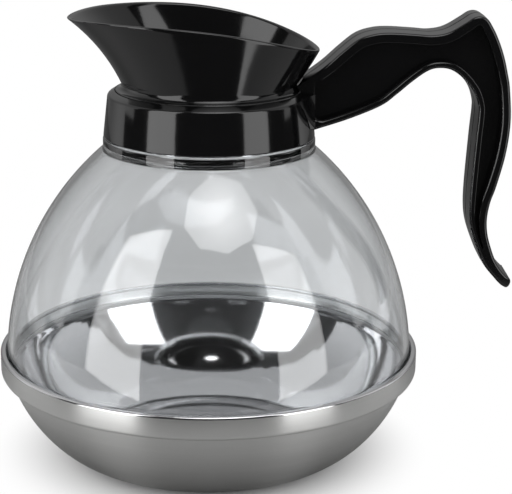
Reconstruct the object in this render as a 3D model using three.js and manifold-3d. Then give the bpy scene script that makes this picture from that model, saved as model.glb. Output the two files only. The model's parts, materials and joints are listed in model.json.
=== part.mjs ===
// Coffee carafe: a clear dome crimped onto a spun steel base, with a black collar, handle and pouring funnel.
// Millimetres, +Z up. The origin is on the axis, on the surface that the base stands on.
// The spout points along -X and the handle along +X.
import * as THREE from "three";
import { mergeVertices } from "three/addons/utils/BufferGeometryUtils.js";
import Module from "manifold-3d";

const wasm = await Module();
wasm.setup();

// Fits and fineness
const CLEARANCE = 0.3; // between pieces that touch once assembled
const SIDES = 48; // flats round every turned piece
const CURVE_STEPS = 8; // steps along each curved stretch of a profile

// Steel base
const RIM_DIAMETER = 170; // over the crimped band
const RIM_HEIGHT = 9.4;
const SHEET = 0.8; // steel sheet
const BOWL_HEIGHT = 36; // from the table to the band
const BAND_ROUND = 1.8; // outer corner along the band's lower edge
const BOWL_FLANGE = 1.2; // turned-out edge of the bowl
const FOOT_RADIUS = 43; // where the flat underside ends
const FOOT_TANGENT = 20.5; // how far the underside runs on before it turns up
const WALL_TANGENT = 15.5; // how long the side stays steep below the band
const WALL_LEAN = 0.25; // slope of the side where it meets the band

// Clear dome
const GASKET_THICKNESS = 1.5;
const GASKET_WIDTH = 3.3;
const DOME_WALL = 2.2;
const DOME_FLANGE = 1.5; // foot that the band's lip holds down
const LIP_GAP = 0.5; // open groove between the band's lip and the dome
const DOME_HEIGHT = 87.6;
const LEDGE_HEIGHT = 4.6; // clear ring that carries the collar
const LEDGE_PROUD = 0.2;
const LEDGE_ROUND = 0.8;
const NECK_RADIUS = 37.4; // outside of the neck
const NECK_HEIGHT = 15.5; // above the ledge

// Clamp strap inside the collar
const STRAP_THICKNESS = 0.8;
const STRAP_WIDTH = 6;
const STRAP_DROP = 0.5; // below the top of the neck
const EAR_LENGTH = 13.6; // out from the strap
const EAR_GAP = 0.8; // between the two ears
const SCREW_INSET = 4.5; // from the ears' ends to the screw

// Clamp screw and nut
const SCREW_RADIUS = 1.5;
const HEAD_RADIUS = 2.8;
const HEAD_HEIGHT = 2;
const CROSS_LENGTH = 3.4; // driver cross in the head
const CROSS_WIDTH = 0.8;
const NUT_SIDE = 5.5;
const NUT_THICKNESS = 2;

// Collar
const COLLAR_WALL = 3.2; // at the bottom
const COLLAR_TOP_WALL = 1.4;
const COLLAR_ROUND = 0.6; // rounded corner under the shoulder
const CORNER_RISE = 0.5; // of the shoulder's outer corner, above the top of the neck
const SHOULDER_RISE = 2.6;
const MOUTH_LAP = 0.1; // the mouth of the collar reaches in over the neck

// Pouring funnel
const PLUG_DEPTH = 12; // skirt that stands in the neck
const PLUG_WALL = 2.3;
const FUNNEL_WALL = 2;
const FLANGE_PROUD = 0.3; // of the funnel's flange, above the collar
const FLANGE_FILLET = 2.3;
const FUNNEL_HEIGHT = 32.7; // rim above the neck, at its highest
const SPOUT_FLARE = 21.2; // rim beyond the waist, at the spout
const BACK_FLARE = 9.1;
const SIDE_FLARE = 4.6;
const RIM_PEAK = 17.6; // from the tip of the spout to the rim's highest place
const SPOUT_DROP = 1.2; // of the tip, below the highest place
const BACK_DROP = 13.2;
const RIM_DIP = 2.5; // how late the rim dips: a higher power keeps it level for longer
const SPOUT_HOLLOW = [0.34, 0.6]; // share of the flare and the rise where the spout's curve turns
const BACK_HOLLOW = [0.56, 0.46];

// Seal ring on the funnel
const SEAL_DEPTH = 1.2; // section across
const SEAL_HEIGHT = 1.8;
const SEAL_GAP = 0.2; // between the ring and the neck
const SEAL_PLACE = 6; // middle of the ring, below the top of the neck

// Handle: x is out from the collar, z is up from the bottom of the collar
const HANDLE_WIDTH = 20;
const WEB_THICKNESS = 10;
const HANDLE_RIM = 2.3; // flange round the web
const HANDLE_STEPS = 56;
const WEB_START = 2.2; // where the hollow begins, out from the collar
const WEB_END_GAP = 0.8; // the hollow runs out where this much is left between the flanges
const FUNNEL_ROOM = 2; // between the handle's root and the back of the funnel
const HANDLE_SEAT = 11.7; // middle of the strap above the handle's base line
const SADDLE_SPREAD = 12; // how far each cheek of the root reaches round the collar
const SADDLE_DROP = 12.7; // height of the cheeks below their widest place
const SADDLE_RISE = 6.5;
const SADDLE_HEIGHT = 17.2; // widest place of the cheeks
const SADDLE_EDGE = 0.9; // thickness where the cheeks end on the collar
const TAIL_ROUND = [[77.9, -60.8], [79.9, -60], [79.8, -58.1]];
const HANDLE_BACK = [
  [-6, 22], [-2.4, 24.5], [3.2, 28.7], [9.5, 34.4], [15.8, 39.3], [22.1, 41.4], [28.5, 41.9],
  [38.1, 41.4], [44.5, 41], [50.8, 42.2], [57.1, 46.1], [60.2, 48.3], [63, 48.9], [65.6, 47.7],
  [67.5, 44.9], [70.5, 38.7], [72.8, 32.4], [74.4, 26.1], [75.6, 19.8], [76.5, 7.1], [75.2, -5.8],
  [72.1, -18.8], [70, -25.4], [69, -32], [69.4, -38.6], [71.3, -45.3], [73.4, -50.4], [76.4, -54.8],
];
const HANDLE_BELLY = [
  [-6, 2.2], [0, 4.2], [12.5, 8.3], [24.9, 13.5], [31, 18], [37.1, 23.2], [43.2, 27.5], [47.8, 28.6],
  [52.6, 27.8], [57.2, 24.5], [61.4, 19.3], [63.4, 14], [63.7, 9.5], [63, -0.4], [61.9, -20.4],
  [61.9, -30.5], [63, -37.3], [65.7, -44.9], [68.6, -51.2], [72.6, -56.2], [75.8, -59.6],
];

// Levels, from the table up
const bandTop = BOWL_HEIGHT + RIM_HEIGHT;
const bowlFlangeBottom = BOWL_HEIGHT + SHEET + CLEARANCE;
const bowlFlangeTop = bowlFlangeBottom + SHEET;
const gasketBottom = bowlFlangeTop + CLEARANCE;
const domeBottom = gasketBottom + GASKET_THICKNESS + CLEARANCE;
const domeFlangeTop = bandTop - SHEET - CLEARANCE;
const ledgeBottom = domeBottom + DOME_HEIGHT;
const ledgeTop = ledgeBottom + LEDGE_HEIGHT;
const neckTop = ledgeTop + NECK_HEIGHT;
const collarBottom = ledgeTop + CLEARANCE;
const collarCorner = neckTop + CORNER_RISE;
const shoulderTop = collarCorner + SHOULDER_RISE;
const strapTop = neckTop - STRAP_DROP;
const strapBottom = strapTop - STRAP_WIDTH;
const strapMiddle = (strapTop + strapBottom) / 2;
const flangeTop = shoulderTop + FLANGE_PROUD;
const waistLevel = flangeTop + FLANGE_FILLET;
const rimTop = neckTop + FUNNEL_HEIGHT;

// Radii, from the axis out
const bandOuter = RIM_DIAMETER / 2;
const bandInner = bandOuter - SHEET;
const flangeRadius = bandInner - CLEARANCE;
const domeRadius = flangeRadius - DOME_FLANGE;
const bowlFlangeRadius = bandOuter - BAND_ROUND;
const bowlTopRadius = bowlFlangeRadius - BOWL_FLANGE;
const strapInner = NECK_RADIUS + CLEARANCE;
const strapOuter = strapInner + STRAP_THICKNESS;
const collarBore = strapOuter + CLEARANCE;
const collarRadius = collarBore + COLLAR_WALL;
const collarTopRadius = collarBore + COLLAR_TOP_WALL;
const mouthRadius = NECK_RADIUS - MOUTH_LAP;
const ledgeRadius = collarRadius + LEDGE_PROUD;
const neckBore = NECK_RADIUS - DOME_WALL;
const plugRadius = neckBore - CLEARANCE;
const throatRadius = plugRadius - PLUG_WALL;
const waistRadius = throatRadius + FUNNEL_WALL;
const earEnd = strapOuter + EAR_LENGTH;
const screwX = earEnd - SCREW_INSET;
const boltHole = SCREW_RADIUS + CLEARANCE;
const webHalf = WEB_THICKNESS / 2;
const handleHalf = HANDLE_WIDTH / 2;
const handleBase = strapMiddle - HANDLE_SEAT;

// Materials
const steel = new THREE.MeshStandardMaterial({ color: 0xb4b3b0, roughness: 0.32, metalness: 1 });
const bandSteel = new THREE.MeshStandardMaterial({ color: 0xc2c2c0, roughness: 0.22, metalness: 1 });
const fastenerSteel = new THREE.MeshStandardMaterial({ color: 0xa9abad, roughness: 0.35, metalness: 1 });
const clear = new THREE.MeshStandardMaterial({
  color: 0xdde3e6, roughness: 0.05, metalness: 0, transparent: true, opacity: 0.3,
});
const blackPlastic = new THREE.MeshStandardMaterial({ color: 0x121214, roughness: 0.22, metalness: 0 });
const silicone = new THREE.MeshStandardMaterial({ color: 0x4a4c4e, roughness: 0.7, metalness: 0 });

// A closed geometry as a solid that can be joined and cut.
function solid(geometry) {
  const bare = new THREE.BufferGeometry();
  bare.setAttribute("position", geometry.getAttribute("position"));
  bare.setIndex(geometry.index);
  const merged = mergeVertices(bare);
  const vertProperties = merged.attributes.position.array;
  const triVerts = new Uint32Array(merged.index.array);
  return new wasm.Manifold(new wasm.Mesh({ numProp: 3, vertProperties, triVerts }));
}

// The geometry of a solid.
function geometryOf(made) {
  const { vertProperties, triVerts } = made.getMesh();
  const geometry = new THREE.BufferGeometry();
  geometry.setAttribute("position", new THREE.BufferAttribute(vertProperties, 3));
  geometry.setIndex(new THREE.BufferAttribute(triVerts, 1));
  return geometry;
}

// A piece turned about +Z. The profile is [radius, height], up the outside and down the inside.
function turned(profile) {
  const points = profile.map(([radius, height]) => new THREE.Vector2(radius, height));
  return new THREE.LatheGeometry(points, SIDES).rotateX(Math.PI / 2);
}

function turnedRing(profile) {
  return turned([...profile, profile[0]]);
}

// Points along a circle's arc in a profile, from one angle to another.
function arc(centre, radius, from, to, steps = CURVE_STEPS) {
  return Array.from({ length: steps + 1 }, (_, step) => {
    const angle = from + ((to - from) * step) / steps;
    return [centre[0] + radius * Math.cos(angle), centre[1] + radius * Math.sin(angle)];
  });
}

// A flat outline in X and Z, made thick along Y between two places.
function plate(outline, near, far) {
  const depth = far - near;
  const flat = new THREE.Shape(outline.map(([x, z]) => new THREE.Vector2(x, z)));
  const thick = new THREE.ExtrudeGeometry(flat, { depth, bevelEnabled: false });
  return thick.rotateX(Math.PI / 2).translate(0, far, 0);
}

function block(low, high) {
  const size = high.map((value, axis) => value - low[axis]);
  const middle = high.map((value, axis) => (value + low[axis]) / 2);
  return solid(new THREE.BoxGeometry(...size).toNonIndexed().translate(...middle));
}

// A round bar along Y.
function crossBar(radius, x, z, near, far) {
  const bar = new THREE.CylinderGeometry(radius, radius, far - near, SIDES / 2);
  return bar.translate(x, (near + far) / 2, z);
}

// The spun bowl: a flat foot, a swelling side and a turned-out edge.
function baseBowl() {
  const side = new THREE.CubicBezierCurve(
    new THREE.Vector2(FOOT_RADIUS, 0),
    new THREE.Vector2(FOOT_RADIUS + FOOT_TANGENT, 0),
    new THREE.Vector2(bowlTopRadius - WALL_LEAN * WALL_TANGENT, bowlFlangeBottom - WALL_TANGENT),
    new THREE.Vector2(bowlTopRadius, bowlFlangeBottom),
  );
  const steps = Array.from({ length: CURVE_STEPS + 1 }, (_, step) => step / CURVE_STEPS);
  const outside = steps.map((t) => side.getPoint(t).toArray());
  const inside = steps.map((t) => {
    const along = side.getTangent(t);
    const point = side.getPoint(t);
    return [point.x - SHEET * along.y, point.y + SHEET * along.x];
  });
  return turned([
    [0, 0],
    ...outside,
    [bowlFlangeRadius, bowlFlangeBottom],
    [bowlFlangeRadius, bowlFlangeTop],
    [inside[CURVE_STEPS][0], bowlFlangeTop],
    ...inside.slice(0, CURVE_STEPS).toReversed(),
    [0, SHEET],
  ]);
}

// The channel-shaped band that holds the dome's foot down on the bowl's edge.
function rimBand() {
  const topLip = domeRadius + LIP_GAP;
  const bottomLip = bowlTopRadius + CLEARANCE;
  const lowCorner = [bandOuter - BAND_ROUND, BOWL_HEIGHT + BAND_ROUND];
  const highCorner = [bandInner, bandTop - SHEET];
  const quarter = Math.PI / 2;
  return turnedRing([
    [bottomLip, BOWL_HEIGHT],
    ...arc(lowCorner, BAND_ROUND, -quarter, 0, 3),
    ...arc(highCorner, SHEET, 0, quarter, 2),
    [topLip, bandTop],
    [topLip, bandTop - SHEET],
    highCorner,
    ...arc(lowCorner, BAND_ROUND - SHEET, 0, -quarter, 3),
    [bottomLip, BOWL_HEIGHT + SHEET],
  ]);
}

function baseGasket() {
  const inner = flangeRadius - GASKET_WIDTH;
  const top = gasketBottom + GASKET_THICKNESS;
  return turnedRing([[inner, gasketBottom], [flangeRadius, gasketBottom], [flangeRadius, top], [inner, top]]);
}

// The dome is one arc, upright at its foot, that ends at the ledge. Its wall is even.
function dome() {
  const inward = domeRadius - ledgeRadius;
  const radius = (inward ** 2 + DOME_HEIGHT ** 2) / (2 * inward);
  const centre = [domeRadius - radius, domeBottom];
  const innerRadius = radius - DOME_WALL;
  const footAngle = Math.asin((domeFlangeTop - domeBottom) / radius);
  const ledgeAngle = Math.asin(DOME_HEIGHT / radius);
  const neckAngle = Math.acos((neckBore - centre[0]) / innerRadius);
  const footFlange = [[flangeRadius, domeBottom], [flangeRadius, domeFlangeTop]];
  const ledge = [
    [ledgeRadius, ledgeTop - LEDGE_ROUND],
    [ledgeRadius - LEDGE_ROUND, ledgeTop],
    [NECK_RADIUS, ledgeTop],
  ];
  return turnedRing([
    ...footFlange,
    ...arc(centre, radius, footAngle, ledgeAngle),
    ...ledge,
    [NECK_RADIUS, neckTop],
    [neckBore, neckTop],
    ...arc(centre, innerRadius, neckAngle, 0),
  ]);
}

// An open steel hoop whose two ends turn out as ears with a hole for the screw.
function clampStrap() {
  const inside = EAR_GAP / 2;
  const outside = inside + STRAP_THICKNESS;
  const innerAngle = Math.asin(inside / strapInner);
  const outerAngle = Math.asin(outside / strapOuter);
  const hoop = new THREE.Shape();
  hoop.moveTo(earEnd, inside);
  hoop.absarc(0, 0, strapInner, innerAngle, 2 * Math.PI - innerAngle, false);
  hoop.lineTo(earEnd, -inside);
  hoop.lineTo(earEnd, -outside);
  hoop.absarc(0, 0, strapOuter, -outerAngle, outerAngle - 2 * Math.PI, true);
  hoop.lineTo(earEnd, outside);
  const options = { depth: STRAP_WIDTH, curveSegments: SIDES, bevelEnabled: false };
  const strap = solid(new THREE.ExtrudeGeometry(hoop, options).translate(0, 0, strapBottom));
  const hole = crossBar(boltHole, screwX, strapMiddle, -STRAP_WIDTH, STRAP_WIDTH);
  return geometryOf(strap.subtract(solid(hole)));
}

// Pan-head screw from the far side of the handle, with a driver cross in its head.
function clampScrew() {
  const seat = webHalf + CLEARANCE;
  const top = seat + HEAD_HEIGHT;
  const tip = -(EAR_GAP / 2 + STRAP_THICKNESS + CLEARANCE + NUT_THICKNESS);
  const shank = solid(crossBar(SCREW_RADIUS, screwX, strapMiddle, tip, seat + HEAD_HEIGHT / 2));
  const head = solid(crossBar(HEAD_RADIUS, screwX, strapMiddle, seat, top));
  const long = CROSS_LENGTH / 2;
  const thin = CROSS_WIDTH / 2;
  const floor = top - HEAD_HEIGHT / 2;
  const slots = [[long, thin], [thin, long]].map(([x, z]) =>
    block([screwX - x, floor, strapMiddle - z], [screwX + x, top + 1, strapMiddle + z]),
  );
  return geometryOf(shank.add(head).subtract(slots[0]).subtract(slots[1]));
}

// Square nut, trapped in the handle beside the near ear.
function clampNut() {
  const far = -(EAR_GAP / 2 + STRAP_THICKNESS + CLEARANCE);
  const half = NUT_SIDE / 2;
  const near = far - NUT_THICKNESS;
  const body = block([screwX - half, near, strapMiddle - half], [screwX + half, far, strapMiddle + half]);
  return geometryOf(body.subtract(solid(crossBar(boltHole, screwX, strapMiddle, near - 1, far + 1))));
}

// The outside of the collar, grown by a gap. The handle's root is cut to the same profile.
function collarOutside(gap) {
  return [
    [collarRadius + gap, collarBottom],
    [collarTopRadius + gap, collarCorner - COLLAR_ROUND],
    [collarTopRadius - COLLAR_ROUND + gap, collarCorner + gap],
    [mouthRadius, shoulderTop + gap],
  ];
}

function collar() {
  const boreTop = neckTop + CLEARANCE;
  const shell = solid(turnedRing([
    [collarBore, collarBottom],
    ...collarOutside(0),
    [mouthRadius, boreTop],
    [collarBore, boreTop],
  ]));
  const slotHalf = EAR_GAP / 2 + STRAP_THICKNESS + CLEARANCE;
  const slot = block(
    [NECK_RADIUS, -slotHalf, strapBottom - CLEARANCE],
    [collarRadius + CLEARANCE, slotHalf, strapTop + CLEARANCE],
  );
  return geometryOf(shell.subtract(slot));
}

// Height of the funnel's rim at a place along X.
function rimHeight(x) {
  const tip = -(waistRadius + SPOUT_FLARE);
  const peak = tip + RIM_PEAK;
  const back = waistRadius + BACK_FLARE;
  const share = x > peak ? (x - peak) / (back - peak) : (peak - x) / (peak - tip);
  return rimTop - (x > peak ? BACK_DROP : SPOUT_DROP) * share ** RIM_DIP;
}

// One ring of points round the axis: place(angle) gives each point.
function ring(place) {
  return Array.from({ length: SIDES }, (_, side) => place((2 * Math.PI * side) / SIDES));
}

function round(radius, height) {
  return ring((angle) => [radius * Math.cos(angle), radius * Math.sin(angle), height]);
}

// A closed skin over rings of points: each ring joins the next, and the last joins the first.
function loft(rings) {
  const index = [];
  rings.forEach((_, level) => {
    const here = level * SIDES;
    const next = ((level + 1) % rings.length) * SIDES;
    for (let side = 0; side < SIDES; side += 1) {
      const beside = (side + 1) % SIDES;
      index.push(here + side, here + beside, next + beside);
      index.push(here + side, next + beside, next + side);
    }
  });
  const geometry = new THREE.BufferGeometry();
  geometry.setAttribute("position", new THREE.Float32BufferAttribute(rings.flat(2), 3));
  geometry.setIndex(index);
  return geometry;
}

// A ring of the flared part, from 0 at the waist to 1 at the rim. Each side's wall is one curve.
function flareRing(share, waist) {
  const inset = waistRadius - waist;
  const length = (SPOUT_FLARE + BACK_FLARE) / 2 + waist;
  const width = SIDE_FLARE + waist;
  const middle = (BACK_FLARE - SPOUT_FLARE) / 2;
  return ring((angle) => {
    const foot = new THREE.Vector3(waist * Math.cos(angle), waist * Math.sin(angle), waistLevel);
    const lip = new THREE.Vector3(middle + length * Math.cos(angle), width * Math.sin(angle), 0);
    lip.z = rimHeight(middle + (length + inset) * Math.cos(angle));
    const back = (1 + Math.cos(angle)) / 2;
    const [out, up] = SPOUT_HOLLOW.map((value, i) => value + (BACK_HOLLOW[i] - value) * back);
    const turn = new THREE.Vector3(
      foot.x + (lip.x - foot.x) * out,
      foot.y + (lip.y - foot.y) * out,
      foot.z + (lip.z - foot.z) * up,
    );
    return new THREE.QuadraticBezierCurve3(foot, turn, lip).getPoint(share).toArray();
  });
}

// Funnel: a skirt with a groove for the seal, a flange on the neck, and an oval flared mouth.
function funnel() {
  const skirtBottom = neckTop - PLUG_DEPTH;
  const flangeBottom = neckTop + CLEARANCE;
  const flangeOuter = mouthRadius - CLEARANCE;
  const groove = plugRadius - SEAL_DEPTH - CLEARANCE;
  const grooveTop = neckTop - SEAL_PLACE + SEAL_HEIGHT / 2 + CLEARANCE;
  const grooveBottom = grooveTop - SEAL_HEIGHT - 2 * CLEARANCE;
  const shares = Array.from({ length: CURVE_STEPS }, (_, step) => (step + 1) / CURVE_STEPS);
  return loft([
    round(throatRadius, skirtBottom),
    round(plugRadius, skirtBottom),
    round(plugRadius, grooveBottom),
    round(groove, grooveBottom),
    round(groove, grooveTop),
    round(plugRadius, grooveTop),
    round(plugRadius, flangeBottom),
    round(flangeOuter, flangeBottom),
    round(flangeOuter, flangeTop),
    round(waistRadius + (flangeOuter - waistRadius) / 4, flangeTop + FLANGE_FILLET / 4),
    round(waistRadius, waistLevel),
    ...shares.map((share) => flareRing(share, waistRadius)),
    ...shares.toReversed().map((share) => flareRing(share, throatRadius)),
    round(throatRadius, waistLevel),
  ]);
}

function funnelSeal() {
  const middle = neckTop - SEAL_PLACE;
  const outer = neckBore - SEAL_GAP;
  const inner = outer - SEAL_DEPTH;
  const half = SEAL_HEIGHT / 2;
  const soft = SEAL_DEPTH / 3;
  return turnedRing([
    [inner + soft, middle - half], [outer - soft, middle - half], [outer, middle - half + soft],
    [outer, middle + half - soft], [outer - soft, middle + half], [inner + soft, middle + half],
    [inner, middle + half - soft], [inner, middle - half + soft],
  ]);
}

// A handle curve, in place beside the collar.
function handleCurve(points) {
  return new THREE.SplineCurve(points.map(([x, z]) => new THREE.Vector2(x + collarRadius, z + handleBase)));
}

// Points of a curve set in from it by the width of the flange. Side is 1 or -1, for left or right.
function insetPoints(curve, side) {
  return Array.from({ length: HANDLE_STEPS + 1 }, (_, step) => {
    const point = curve.getPoint(step / HANDLE_STEPS);
    const along = curve.getTangent(step / HANDLE_STEPS);
    return [point.x - side * HANDLE_RIM * along.y, point.y + side * HANDLE_RIM * along.x];
  });
}

// The hollow beside the web: inside both flanges, from the root to where the flanges close up.
function handleHollow(back, belly) {
  const start = collarRadius + WEB_START;
  const upper = insetPoints(back, -1).filter(([x]) => x > start);
  const lower = insetPoints(belly, 1).filter(([x]) => x > start);
  const nearest = ([x, z], others) => Math.min(...others.map(([ox, oz]) => Math.hypot(x - ox, z - oz)));
  const open = (points, others) => {
    const closed = points.findIndex((point) => nearest(point, others) < WEB_END_GAP);
    return closed < 0 ? points : points.slice(0, closed);
  };
  const roof = open(upper, lower);
  const floor = open(lower, upper);
  return [[start, roof[0][1]], ...roof, ...floor.toReversed(), [start, floor[0][1]]].toReversed();
}

// Cheeks that spread from the root of the handle round the collar.
function handleSaddle() {
  const reach = handleHalf + SADDLE_SPREAD;
  const widest = handleBase + SADDLE_HEIGHT;
  const start = collarRadius + WEB_START;
  const edge = Math.sqrt((collarRadius + CLEARANCE) ** 2 - reach ** 2) + SADDLE_EDGE;
  const plan = new THREE.Shape();
  plan.moveTo(0, -reach);
  plan.lineTo(edge, -reach);
  plan.quadraticCurveTo(start, -handleHalf - SADDLE_SPREAD / 3, start, -handleHalf);
  plan.lineTo(start, handleHalf);
  plan.quadraticCurveTo(start, handleHalf + SADDLE_SPREAD / 3, edge, reach);
  plan.lineTo(0, reach);
  const front = new THREE.Shape();
  front.moveTo(handleHalf, widest - SADDLE_DROP);
  front.absellipse(handleHalf, widest, SADDLE_SPREAD, SADDLE_DROP, -Math.PI / 2, 0, false);
  front.absellipse(handleHalf, widest, SADDLE_SPREAD, SADDLE_RISE, 0, Math.PI / 2, false);
  front.absellipse(-handleHalf, widest, SADDLE_SPREAD, SADDLE_RISE, Math.PI / 2, Math.PI, false);
  front.absellipse(-handleHalf, widest, SADDLE_SPREAD, SADDLE_DROP, Math.PI, 1.5 * Math.PI, false);
  const options = { curveSegments: CURVE_STEPS, bevelEnabled: false };
  const upright = new THREE.ExtrudeGeometry(plan, { ...options, depth: neckTop + FUNNEL_HEIGHT });
  const turnedOut = new THREE.Matrix4().makeBasis(
    new THREE.Vector3(0, 1, 0),
    new THREE.Vector3(0, 0, 1),
    new THREE.Vector3(1, 0, 0),
  );
  const deep = new THREE.ExtrudeGeometry(front, { ...options, depth: 2 * collarRadius });
  return solid(upright).intersect(solid(deep.applyMatrix4(turnedOut)));
}

// Everything that the handle's root keeps clear of: the collar, and the funnel above it.
function rootRoom() {
  const backRim = rimHeight(waistRadius + BACK_FLARE);
  return solid(turned([
    [0, 0],
    [collarRadius + CLEARANCE, 0],
    ...collarOutside(CLEARANCE),
    [waistRadius + FUNNEL_ROOM, waistLevel],
    [waistRadius + BACK_FLARE + FUNNEL_ROOM, backRim],
    [0, backRim],
  ]));
}

// Handle: a web between two flanges that close into a tail, with a root that sits on the collar.
function handle() {
  const back = handleCurve(HANDLE_BACK);
  const belly = handleCurve(HANDLE_BELLY);
  const tail = TAIL_ROUND.map(([x, z]) => [x + collarRadius, z + handleBase]);
  const plain = (curve) => curve.getPoints(HANDLE_STEPS).map((point) => point.toArray());
  const outline = [...plain(belly), ...tail, ...plain(back).toReversed()];
  const body = solid(plate(outline, -handleHalf, handleHalf)).add(handleSaddle());
  const hollow = handleHollow(back, belly);
  const earRoom = EAR_GAP / 2 + STRAP_THICKNESS + CLEARANCE;
  const nutRoom = NUT_SIDE / 2 + CLEARANCE;
  const ears = block(
    [0, -earRoom, strapBottom - CLEARANCE],
    [earEnd + CLEARANCE, earRoom, strapTop + CLEARANCE],
  );
  const nut = block(
    [0, -earRoom - NUT_THICKNESS - CLEARANCE, strapMiddle - nutRoom],
    [screwX + nutRoom, 0, strapMiddle + nutRoom],
  );
  const hole = solid(crossBar(boltHole, screwX, strapMiddle, 0, handleHalf));
  const cuts = [
    solid(plate(hollow, -2 * handleHalf, -webHalf)),
    solid(plate(hollow, webHalf, 2 * handleHalf)),
    rootRoom(),
    ears,
    nut,
    hole,
  ];
  return geometryOf(cuts.reduce((made, cut) => made.subtract(cut), body));
}

const pieces = {
  base_bowl: [baseBowl(), steel],
  rim_band: [rimBand(), bandSteel],
  base_gasket: [baseGasket(), silicone],
  dome: [dome(), clear],
  clamp_strap: [clampStrap(), fastenerSteel],
  clamp_screw: [clampScrew(), fastenerSteel],
  clamp_nut: [clampNut(), fastenerSteel],
  collar: [collar(), blackPlastic],
  handle: [handle(), blackPlastic],
  funnel: [funnel(), blackPlastic],
  funnel_seal: [funnelSeal(), silicone],
};

const group = new THREE.Group();
group.name = "coffee_carafe";
for (const [name, [geometry, material]] of Object.entries(pieces)) {
  const mesh = new THREE.Mesh(geometry, material.clone());
  mesh.name = name;
  group.add(mesh);
}

export default group;
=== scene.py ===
"""Coffee carafe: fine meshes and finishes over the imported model, and the studio it is shown in."""
import json
import math

import bmesh
import bpy
from bpy.props import FloatProperty, FloatVectorProperty, PointerProperty
from mathutils import Matrix, Vector
from mathutils.geometry import interpolate_bezier

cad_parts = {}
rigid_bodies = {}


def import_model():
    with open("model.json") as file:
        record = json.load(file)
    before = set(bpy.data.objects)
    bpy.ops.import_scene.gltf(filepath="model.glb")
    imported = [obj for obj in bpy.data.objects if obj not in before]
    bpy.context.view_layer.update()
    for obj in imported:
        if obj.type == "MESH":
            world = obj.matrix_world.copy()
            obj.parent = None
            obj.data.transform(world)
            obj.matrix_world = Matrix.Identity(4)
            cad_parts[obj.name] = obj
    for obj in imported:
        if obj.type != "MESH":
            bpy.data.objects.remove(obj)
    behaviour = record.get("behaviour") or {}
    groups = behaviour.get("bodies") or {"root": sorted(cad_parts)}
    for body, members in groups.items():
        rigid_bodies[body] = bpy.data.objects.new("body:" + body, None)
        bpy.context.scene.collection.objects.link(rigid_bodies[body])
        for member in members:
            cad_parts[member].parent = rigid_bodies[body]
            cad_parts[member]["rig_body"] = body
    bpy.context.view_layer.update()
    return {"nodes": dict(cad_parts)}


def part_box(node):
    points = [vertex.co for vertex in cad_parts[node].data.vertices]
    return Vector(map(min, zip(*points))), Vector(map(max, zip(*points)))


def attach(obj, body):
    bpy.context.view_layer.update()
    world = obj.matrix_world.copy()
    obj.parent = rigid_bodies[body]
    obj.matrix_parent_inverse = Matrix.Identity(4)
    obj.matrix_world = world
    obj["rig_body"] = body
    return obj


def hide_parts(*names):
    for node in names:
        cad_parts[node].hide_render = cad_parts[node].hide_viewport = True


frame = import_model()

bl_info = {
    "name": "Coffee Carafe",
    "version": (1, 0, 0),
    "blender": (4, 5, 0),
    "location": "View3D > Sidebar > Carafe",
    "description": "Makes the pieces of a coffee carafe over its packed model, and a studio for it",
    "category": "Object",
}

MM = 0.001
TURN = 2 * math.pi
STEPS = 192  # flats round a spun piece
GAP = 0.0003  # between pieces that touch once assembled
EAR_SLOT = 0.0015  # half the width of the slot for the strap's ears

# Handle outlines, out from the collar and up from its bottom edge, in millimetres
HANDLE_BACK = (
    (-9.5, 19.6), (-6, 22), (-2.4, 24.5), (3.2, 28.7), (9.5, 34.4), (15.8, 39.3), (22.1, 41.4), (28.5, 41.9),
    (38.1, 41.4), (44.5, 41), (50.8, 42.2), (57.1, 46.1), (60.2, 48.3), (63, 48.8), (65.6, 47.7),
    (67.5, 44.9), (70.5, 38.7), (72.8, 32.4), (74.4, 26.1), (75.6, 19.8), (76.5, 7.1), (75.2, -5.8),
    (72.1, -18.8), (70, -25.4), (69, -32), (69.4, -38.6), (71.3, -45.3), (73.4, -50.4), (76.4, -54.8),
    (79.8, -58.1),
)
HANDLE_BELLY = (
    (-9.5, 1), (-6, 2.2), (0, 4.2), (12.5, 8.3), (24.9, 13.5), (31, 18), (37.1, 23.2), (43.2, 27.5),
    (47.8, 28.6), (52.6, 27.8), (57.2, 24.5), (61.4, 19.3), (63.4, 14), (63.7, 9.5), (63, -0.4),
    (61.9, -20.4), (61.9, -30.5), (63, -37.3), (65.7, -44.9), (68.6, -51.2), (72.6, -56.2),
    (75.8, -59.6), (77.9, -60.8),
)


# Sizes and colours


def length(label, note, value):
    """A length in metres that a user may change."""
    return FloatProperty(name=label, description=note, default=value, min=0.0, unit="LENGTH", precision=4)


def share(label, note, value):
    return FloatProperty(name=label, description=note, default=value, min=0.0, max=1.0, subtype="FACTOR")


def colour(label, note, value):
    return FloatVectorProperty(name=label, description=note, default=value, min=0.0, max=1.0, subtype="COLOR")


def angle(label, note, degrees):
    return FloatProperty(name=label, description=note, default=math.radians(degrees), subtype="ANGLE")


BAND_LOW, BAND_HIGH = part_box("rim_band")
DOME_LOW, DOME_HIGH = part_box("dome")
COLLAR_LOW, COLLAR_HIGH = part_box("collar")
FUNNEL_LOW, FUNNEL_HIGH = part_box("funnel")
HANDLE_LOW, HANDLE_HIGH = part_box("handle")


class BaseSizes(bpy.types.PropertyGroup):
    """Sizes of the steel base"""

    rim_radius: length("Rim radius", "Outside of the crimped band", BAND_HIGH.x)
    rim_bottom: length("Rim bottom", "Lower edge of the band above the table", BAND_LOW.z)
    rim_top: length("Rim top", "Upper edge of the band above the table", BAND_HIGH.z)
    rim_round: length("Rim rounding", "Lower outer corner of the band", 0.0018)
    sheet: length("Sheet", "Thickness of the steel sheet", 0.0008)
    foot_radius: length("Foot radius", "Where the flat underside ends", 0.043)
    side_radius: length("Side radius", "Outside of the bowl at its turned-out edge", 0.082)
    edge_radius: length("Edge radius", "Outside of the turned-out edge", 0.0832)
    edge_height: length("Edge height", "Underside of the turned-out edge", 0.0371)
    lip_radius: length("Lip radius", "Inside of the band's upper lip", 0.0829)


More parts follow.
